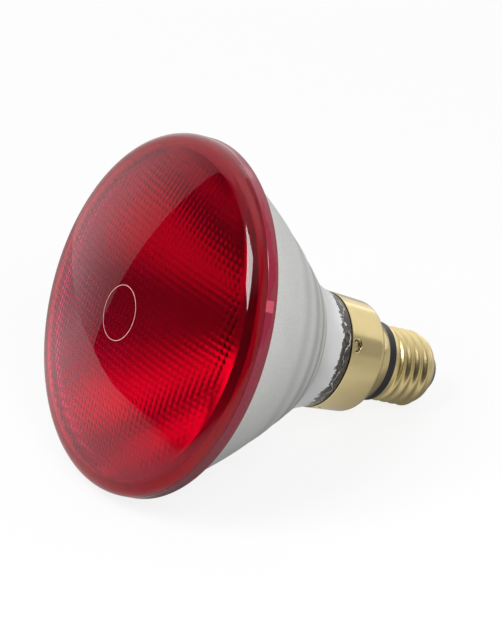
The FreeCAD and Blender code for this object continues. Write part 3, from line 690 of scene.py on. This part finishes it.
class LAMP_OT_bowl(bpy.types.Operator):
    """Glass bowl and neck: red flange, frosted outside, mirror inside"""

    bl_idname = "lamp.bowl"
    bl_label = "Bowl and neck"

    def execute(self, context):
        s, colours, _ = settings()
        at = levels(s)
        rim_slope, neck_slope, foot_slope, neck_curve = bowl_slopes(s)

        def inside(radius, height, slope):
            return radius - s.wall * math.cos(slope), height + s.wall * math.sin(slope)

        bowl_radius = s.rim - s.flange_step
        taper = (s.mouth - s.skirt) / (s.skirt_height - s.skirt_round)
        fit = s.sheet + 0.25 * MM
        end_radius = s.mouth - taper * s.neck_sunk - 2 * fit - s.dimple_room
        rim, bend = inside(bowl_radius, at.flange, rim_slope), inside(s.neck_top, at.neck_top, neck_slope)
        foot = inside(s.neck_radius, at.neck_step, foot_slope)
        outline = [(s.land, at.seam)] + arc_through(rim, bend, s.bowl_curve - s.wall, -1, 24)
        outline += arc_through(bend, foot, neck_curve + s.wall, 1, 16)[1:]
        outline += [(end_radius - s.wall, at.neck_end), (end_radius, at.neck_end)]
        outline += [(s.mouth - 2 * fit - s.dimple_room, at.neck_step)]
        foot, top, rows = (s.neck_radius, at.neck_step), (s.neck_top, at.neck_top), 20
        for i, (r, z) in enumerate(arc_through(foot, top, neck_curve, -1, rows)):
            outline.append((r - s.bowl_step * (i / rows) ** 2, z))
        for r, z in arc_through(top, (bowl_radius, at.flange), s.bowl_curve, 1, 150):
            outline.append((r - self.ripple(s, z - at.neck_top), z))
        bevel = s.seam_bevel
        outline += [(s.rim - bevel, at.flange), (s.rim, at.flange + bevel)]
        outline += [(s.rim, at.seam - bevel), (s.rim - bevel, at.seam)]
        spin_profile(outline, steps=192)
        finishes = [
            frosted(colours, at),
            mirror_coat(colours, "bowl_mirror", 0.62),
            neck_glass(colours, at),
            flange_coat(colours, at),
            plain_finish("fused_joint", colours.joint, 0.5, 0.0, 250.0, 0.3),
            mirror_coat(colours, "neck_mirror", 0.3),
        ]
        near, deep = 0.01 * MM, s.wall * 0.6

        def inner(r, z):
            return z > at.neck_end and r < self.outside(s, at, z) - deep

        paint = [
            (1, lambda r, z, n: inner(r, z)),
            (2, lambda r, z, n: z < at.neck_top and not inner(r, z)),
            (5, lambda r, z, n: z < at.neck_top and inner(r, z)),
            (3, lambda r, z, n: z > at.flange - near and r > bowl_radius - near),
            (4, lambda r, z, n: abs(z - at.seam) < near),
        ]
        finish_piece("bowl_and_neck", ["reflector"], finishes, 30.0, paint)
        return {"FINISHED"}

    def ripple(self, s, up):
        """Shallow rings moulded into the bowl by its neck end, wider and fainter up the bowl."""
        ledge = 0.35
        edge = ledge * max(0.0, 1 - up / (ledge * MM)) * MM
        dips = [share * math.exp(-(((up / MM - place) / width) ** 2)) for place, width, share in RINGS]
        return s.ring_depth * sum(dips) + edge

    def outside(self, s, at, z):
        """Rough outside radius of bowl and neck at a height: each is a straight line with a bulge."""
        if z >= at.flange:
            return s.rim
        chords = (
            (at.neck_top, s.neck_top, at.flange, s.rim - s.flange_step, 1.4 * MM),
            (at.neck_step, s.neck_radius, at.neck_top, s.neck_top, -1.0 * MM),
        )
        for low, low_radius, high, high_radius, bulge in chords:
            if z >= low:
                share = (z - low) / (high - low)
                return low_radius + (high_radius - low_radius) * share + 4 * share * (1 - share) * bulge
        return s.neck_radius - 0.6 * MM


class LAMP_OT_cap(bpy.types.Operator):
    """Brass skirt with its dimples, black ring, screw shell, end insulator, contact and solder"""

    bl_idname = "lamp.cap"
    bl_label = "Screw cap"

    def execute(self, context):
        s, colours, _ = settings()
        at = levels(s)
        metal = brass(colours.brass, "polished_brass", 0.14, 0.22)
        # The screw shell's brass is rougher than the skirt's, and painted 1.14 times as light: painted light.
        rough_painted_lighter = brass(scaled(colours.brass, 1.14), "thread_brass_painted_lighter", 0.26, 0.36)
        black = plain_finish("black_moulding", colours.black, 0.4, 0.0, 400.0)
        glassy = plain_finish("black_glass", scaled(colours.black, 0.7), 0.12, 0.0, 300.0)
        dull = plain_finish("solder", colours.solder, 0.35, 1.0, 500.0)
        # The dimples' steep walls get a darkened brass: painted shade.
        self.make_skirt(s, at, metal, brass(scaled(colours.brass, 0.3), "dimple_wall_painted_shade", 0.4, 0.5))
        bore, bevel = s.ring - 3 * MM, 0.2 * MM
        low, high = at.screw_top, at.ring_top
        spin_profile([
            (bore, low), (s.ring - bevel, low), (s.ring, low + bevel),
            (s.ring, high - bevel), (s.ring - bevel, high), (bore, high),
        ], steps=128)
        finish_piece("insulating_band", ["insulating_ring"], [black])
        self.make_screw(s, at, rough_painted_lighter)
        lip, top, inside = s.screw_lip - s.sheet, at.contact_top, at.screw_end + 0.9 * MM
        cone = [(0.0, top), (s.cone_nose - 0.01 * MM, top), (lip, at.screw_end)]
        spin_profile(cone + [(lip + 0.6 * MM, inside), (0.0, inside)], closed=False, steps=128)
        finish_piece("end_cone", ["end_insulator"], [glassy])
        rounding = 0.41 * MM
        disc = [(0.0, at.contact)]
        disc += arc((s.contact - rounding, at.contact + rounding), rounding, -90, 0, 6)
        spin_profile(disc + [(s.contact, top), (0.0, top)], closed=False, steps=96)
        finish_piece("contact_disc", ["centre_contact"], [metal])
        curve = (s.drop**2 + s.drop_height**2) / (2 * s.drop_height)
        drop = arc_through((0.0, 0.0), (s.drop, at.contact), curve, 1, 10)
        spin_profile(drop + [(0.0, at.contact)], closed=False, steps=64)
        finish_piece("solder_drop", ["contact_solder"], [dull])
        return {"FINISHED"}

    def make_skirt(self, s, at, metal, dark):
        """Thin drawn sheet: tapered skirt, rounded shoulder, narrow collar, four punched dimples with painted
        shade on their steep walls.
        """
        shoulder, mouth = at.shoulder, at.mouth
        turn_in, turn_out = s.skirt - s.skirt_round, s.collar + s.collar_round
        straight = shoulder + s.skirt_round
        taper = (s.mouth - s.skirt) / (mouth - straight)
        rows, edge, bevel = 60, mouth - 0.12 * MM, 0.1 * MM
        outer = []
        for i in range(rows + 1):
            z = edge - (edge - straight) * i / rows
            outer.append((s.skirt + taper * (z - straight), z))
        outline = [(s.mouth - s.sheet, mouth), (s.mouth - bevel, mouth)] + outer
        outline += arc((turn_in, straight), s.skirt_round, 0, -90, 12)[1:]
        outline += arc((turn_out, shoulder - s.collar_round), s.collar_round, 90, 180, 8)
        low = at.ring_top
        outline += [(s.collar, low + bevel), (s.collar - bevel, low), (s.collar - s.sheet, low)]
        outline += arc((turn_out, shoulder - s.collar_round), s.collar_round + s.sheet, 180, 90, 8)
        outline += arc((turn_in, straight), s.skirt_round - s.sheet, -90, 0, 8)[:-1]
        outline += [(radius - s.sheet, z) for radius, z in reversed(outer)]
        spin_profile(outline, steps=360)
        mode("OBJECT")
        middle, half_long, half_wide, slope = mouth - s.dimple_drop, 2.6 * MM, 1.95 * MM, 0.4
        for vertex in bpy.context.object.data.vertices:
            x, y, z = vertex.co
            radius = math.hypot(x, y)
            turn = (math.atan2(y, x) - s.dimple_turn + math.pi / 4) % (math.pi / 2) - math.pi / 4
            away = math.hypot(turn * radius / half_long, (z - middle) / half_wide)
            if away < 1.0:
                wall = min(1.0, (1.0 - away) / slope)
                wall = wall * wall * (3 - 2 * wall)
                flat = radius / math.cos(turn) - s.dimple
                sunk = radius + (flat - radius) * wall
                vertex.co.x, vertex.co.y = x * sunk / radius, y * sunk / radius
        # Painted shade: faces on the dimples' steep walls take the darkened brass.
        high, reach = s.mouth - s.sheet - 0.35 * MM, 2 * MM
        deep = high - 0.5 * s.dimple
        walls = [(1, lambda r, z, n: deep < r < high and abs(z - middle) < reach)]
        finish_piece("brass_skirt", ["cap_skirt"], [metal, dark], 50.0, walls)

    def make_screw(self, s, at, metal):
        """Screw shell: a circle lifted step by step while its centre walks round a small helix."""
        deselect()
        lip, root, collar = s.screw_lip - s.sheet, s.thread - s.thread_half, s.top_collar - s.sheet
        bpy.ops.mesh.primitive_circle_add(vertices=128, radius=lip)
        mode("EDIT")
        bpy.ops.transform.translate(value=(0.0, 0.0, at.screw_end))
        end = arc_through((s.screw_lip, at.screw_end), (root, at.thread), 2 * s.screw_end, 1, 6)
        rings = [(r, 0.0, 0.0, z) for r, z in end]
        per_turn, run_out, start, walk = 20, 7, 3 / 8, 0.985
        mean, steps = s.thread - 0.03 * MM, per_turn * s.turns
        for i in range(1, steps):
            share = min(i, steps - i, run_out) / run_out
            share = share * share * (3 - 2 * share)
            angle = math.pi + 2 * math.pi * (i / per_turn - start)
            offset = share * s.thread_half * walk
            x, y, z = offset * math.cos(angle), offset * math.sin(angle), at.thread + i * s.pitch / per_turn
            rings.append((mean - (1 - share) * s.thread_half, x, y, z))
        top = arc_through((root, at.thread_top), (s.top_collar, at.screw_collar), 1.5 * MM, -1, 6)
        top = [(root, at.thread_top)] + top[1:]
        top += [(s.top_collar, at.screw_top), (collar, at.screw_top), (collar, at.screw_collar)]
        top += [(root - s.sheet, at.thread_top), (root - s.sheet, at.thread), (lip, at.screw_end)]
        rings += [(r, 0.0, 0.0, z) for r, z in top]
        was = (lip, 0.0, 0.0, at.screw_end)
        for ring in rings:
            move = [now - before for now, before in zip(ring[1:], was[1:])]
            bpy.ops.mesh.extrude_region_move(TRANSFORM_OT_translate={"value": move})
            grow = ring[0] / was[0]
            bpy.ops.transform.resize(value=(grow, grow, 1.0), center_override=ring[1:])
            was = ring
        close_mesh()
        finish_piece("screw_thread", ["screw_shell"], [metal], smooth=50.0)


class LAMP_OT_inside(bpy.types.Operator):
    """Wound filament, and finishes of the stem, tube and wires inside the lamp"""

    bl_idname = "lamp.inside"
    bl_label = "Inner pieces"

    def execute(self, context):
        s, colours, _ = settings()
        clear = glass("stem_glass", (0.93, 0.95, 0.94), 0.02)
        wire = plain_finish("nickel_wire", colours.solder, 0.3, 1.0, 800.0)
        tungsten = plain_finish("tungsten", scaled(colours.solder, 0.5), 0.45, 1.0, 800.0)
        finishes = (
            (clear, ("stem", "exhaust_tube", "support_rod")),
            (wire, ("contact_lead", "shell_lead")),
            (tungsten, ("support_wire_1", "support_wire_2", "support_wire_3")),
        )
        for material, names in finishes:
            for name in names:
                materials = frame["nodes"][name].data.materials
                materials.clear()
                materials.append(material)
        self.make_filament(s, levels(s), tungsten)
        return {"FINISHED"}

    def make_filament(self, s, at, tungsten):
        """Wound wire bent to a half circle: a chain of points swept to a round wire."""
        coil = s.filament - 1.1 * s.filament_wire
        level = at.neck_end + s.filament_rise
        per_turn, start, sweep = 14, 0.006, 0.988
        steps = per_turn * s.filament_turns
        chain = []
        for i in range(steps + 1):
            bend = math.pi * (start + sweep * i / steps)
            wind = 2 * math.pi * s.filament_turns * i / steps
            reach = s.filament_arc + coil * math.cos(wind)
            chain.append((reach * math.cos(bend), reach * math.sin(bend), level + coil * math.sin(wind)))
        draw_chain(chain)
        mode("OBJECT")
        bpy.ops.object.convert(target="CURVE")
        curve = bpy.context.object.data
        curve.bevel_depth = s.filament_wire
        curve.bevel_resolution = 1
        curve.use_fill_caps = True
        bpy.ops.object.convert(target="MESH")
        finish_piece("wound_filament", ["filament"], [tungsten])


class LAMP_OT_stage(bpy.types.Operator):
    """White table and backdrop, soft lamps and the camera"""

    bl_idname = "lamp.stage"
    bl_label = "Stage"

    def execute(self, context):
        stage = context.scene.lamp_stage
        context.scene.view_settings.view_transform = "Standard"
        self.make_floor()
        self.make_lamps(stage)
        self.make_camera(stage)
        return {"FINISHED"}

    def make_floor(self):
        """White table with a slanting left edge, and walls round it that only glass and metal see; in mm."""
        table = [(250, -2500), (250, -1150), (780, -350), (700, 430), (80, 500), (-241, 290), (-241, 283)]
        table += [(-267, 216), (-325, 186), (-387, 166), (-468, 156), (-2500, 60), (-2500, -2500)]
        self.make_panel("floor", [(x, y, -0.2) for x, y in table], self.table_paint())
        walls = (
            ("backdrop_1", (-242, 290), (80, 500), 0.68, -0.245),
            ("backdrop_2", (80, 500), (700, 430), 0.87, None),
            ("side_wall_1", (700, 430), (780, -350), 0.30, None),
            ("side_wall_2", (780, -350), (250, -1150), 0.30, None),
        )
        for name, left, right, strength, left_end in walls:
            corners = [(*left, 0), (*right, 0), (*right, 900), (*left, 900)]
            wall = self.make_panel(name, corners, self.glow(name, strength, left_end))
            wall.visible_camera = False

    def make_panel(self, name, corners, material):
        """A flat panel: a point extruded along its corners and filled."""
        draw_chain([Vector(corner) * MM for corner in corners])
        bpy.ops.mesh.edge_face_add()
        mode("OBJECT")
        panel = bpy.context.object
        panel.name = name
        panel.data.materials.append(material)
        return panel

    def table_paint(self):
        """White paint: bright with a soft shadow to the camera; to glass and metal it glows with a painted
        fall-off of light to the left and painted shadows under the lens rim and the cap, and through the lens
        it shows a painted shadow near the lamp.
        """
        material, tree, shader = new_material("white_table")
        put(shader, {"Base Color": (0.18, 0.18, 0.18), "Roughness": 0.9, "Specular IOR Level": 0.1})
        where = add_node(tree, "TexCoord").outputs["Object"]
        # Painted fall-off of light, seen only in glass and metal: the table glows less to the left.
        leftward = along(tree, where, (-0.86, -0.5, 0.0))
        mirrored = ramp_node(tree, leftward, 0.02, 0.2, 0.78, 0.33)
        for near, far, start, end in ((-0.04, 0.01, 0.66, 1.0), (0.19, 0.25, 1.0, 0.08)):
            mirrored = times(tree, mirrored, ramp_node(tree, leftward, near, far, start, end))
        # Painted shadows, seen only in glass and metal: under the lens rim and under the cap.
        for point, reach, dark in (((-0.060, -0.035, 0.0), 0.05, 0.5), ((0.056, -0.005, 0.0), 0.045, 0.36)):
            shade = ramp_node(tree, away_from(tree, where, point), 0.01, reach, dark, 1.0)
            mirrored = times(tree, mirrored, shade)
        # Seen through the lens, the table is painted darker near the lamp: a painted shadow of the lamp.
        through = ramp_node(tree, away_from(tree, where, (-0.05, 0.0, 0.0)), 0.08, 0.4, 0.47, 0.62)
        sight = add_node(tree, "LightPath").outputs
        share, strength = 0.0, 0.0
        views = (
            ("Is Camera Ray", 0.35, 2.435),
            ("Is Transmission Ray", 1.0, through),
            ("Is Glossy Ray", 1.0, mirrored),
        )
        for ray, part, seen in views:
            share = plus(tree, share, times(tree, sight[ray], part))
            strength = plus(tree, strength, times(tree, sight[ray], seen))
        bright = add_node(tree, "Emission", {"Strength": strength}).outputs["Emission"]
        mix = add_node(tree, "MixShader", {"Fac": share, 1: shader.outputs["BSDF"], 2: bright})
        put(tree.nodes["Material Output"], {"Surface": mix.outputs["Shader"]})
        return material

    def glow(self, name, strength, left_end=None):
        """A softly lit wall; with a left end given, its light fades towards that end."""
        material, tree, shader = new_material(name)
        if left_end is not None:
            across = along(tree, add_node(tree, "TexCoord").outputs["Object"], (1.0, 0.0, 0.0))
            strength = ramp_node(tree, across, left_end, left_end + 0.095, 0.38 * strength, strength)
        put(shader, {"Base Color": (0.1, 0.1, 0.1), "Emission Color": WHITE, "Emission Strength": strength})
        return material

    def make_lamps(self, stage):
        """Even light on matt surfaces, a dim room in reflections, and three soft boxes."""
        world = bpy.context.scene.world or bpy.data.worlds.new("studio")
        bpy.context.scene.world = world
        world.use_nodes = True
        tree = world.node_tree
        sight = add_node(tree, "LightPath").outputs
        toward = add_node(tree, "TexCoord").outputs["Generated"]
        upward = along(tree, toward, (0.0, 0.0, 1.0))
        ceiling = ramp_node(tree, upward, 0.92, 0.99, stage.walls, stage.ceiling)
        window = ramp_node(tree, along(tree, toward, (-0.57, -0.13, 0.81)), 0.92, 0.98, 0.0, stage.window)
        through = plus(tree, ceiling, window)
        sideways = along(tree, toward, (0.70, 0.35, 0.62))
        mirrored = ramp_node(tree, sideways, 0.62, 0.85, stage.dark_side, stage.light_side)
        overhead = ramp_node(tree, upward, 0.70, 0.90, 0.0, stage.overhead)
        mirrored = plus(tree, mirrored, overhead)
        strength = stage.world
        views = (("Is Camera Ray", 1.0), ("Is Transmission Ray", through), ("Is Glossy Ray", mirrored))
        for ray, seen in views:
            change = minus(tree, seen, stage.world)
            strength = plus(tree, strength, times(tree, change, sight[ray]))
        put(tree.nodes["Background"], {"Color": WHITE, "Strength": strength})
        left = self.area("soft_box_left", (-0.58, -0.12, 0.80), (-0.04, 0.0, 0.06), (0.42, 0.46), 6.5)
        left.visible_transmission = False
        self.area("soft_box_right", (0.64, 0.15, 0.23), (0.03, 0.0, 0.05), (0.85, 0.45), 0.65)
        front = self.area("soft_box_front", (-0.12, -0.75, 0.65), (0.0, 0.0, 0.05), (0.5, 0.5), 6.2)
        front.visible_glossy = front.visible_transmission = False

    def area(self, name, place, aim, size, power):
        deselect()
        bpy.ops.object.light_add(type="AREA", location=place)
        lamp = bpy.context.object
        lamp.name = name
        lamp.data.shape = "RECTANGLE"
        lamp.data.size, lamp.data.size_y = size
        lamp.data.energy = power
        lamp.visible_camera = False
        lamp.rotation_euler = (Vector(aim) - Vector(place)).to_track_quat("-Z", "Y").to_euler()
        return lamp

    def make_camera(self, stage):
        deselect()
        bpy.ops.object.camera_add()
        camera = bpy.context.object
        camera.name = "camera"
        back = Vector((
            math.sin(stage.azimuth) * math.cos(stage.elevation),
            -math.cos(stage.azimuth) * math.cos(stage.elevation),
            math.sin(stage.elevation),
        ))
        camera.location = Vector(stage.target) + back * stage.distance
        camera.rotation_euler = back.to_track_quat("Z", "Y").to_euler()
        camera.data.sensor_fit = "VERTICAL"
        camera.data.sensor_height = 36.0
        camera.data.lens = stage.focal
        camera.data.clip_start = 0.01
        bpy.context.scene.camera = camera


class LAMP_PT_panel(bpy.types.Panel):
    """Lists the steps that build the lamp"""

    bl_idname = "LAMP_PT_panel"
    bl_label = "Heat lamp"
    bl_space_type = "VIEW_3D"
    bl_region_type = "UI"
    bl_category = "Heat lamp"

    def draw(self, context):
        for operator in OPERATORS:
            self.layout.operator(operator.bl_idname)


OPERATORS = (LAMP_OT_lens, LAMP_OT_bowl, LAMP_OT_cap, LAMP_OT_inside, LAMP_OT_stage)
GROUPS = {"lamp_sizes": LampSizes, "lamp_colours": LampColours, "lamp_stage": StageSettings}


def register():
    for group in GROUPS.values():
        bpy.utils.register_class(group)
    for name, group in GROUPS.items():
        setattr(bpy.types.Scene, name, bpy.props.PointerProperty(type=group))
    for operator in OPERATORS:
        bpy.utils.register_class(operator)
    bpy.utils.register_class(LAMP_PT_panel)


def unregister():
    bpy.utils.unregister_class(LAMP_PT_panel)
    for operator in reversed(OPERATORS):
        bpy.utils.unregister_class(operator)
    for name, group in GROUPS.items():
        delattr(bpy.types.Scene, name)
        bpy.utils.unregister_class(group)


def main():
    register()
    bpy.ops.lamp.lens()
    bpy.ops.lamp.bowl()
    bpy.ops.lamp.cap()
    bpy.ops.lamp.inside()
    bpy.ops.lamp.stage()


if __name__ == "__main__":
    main()
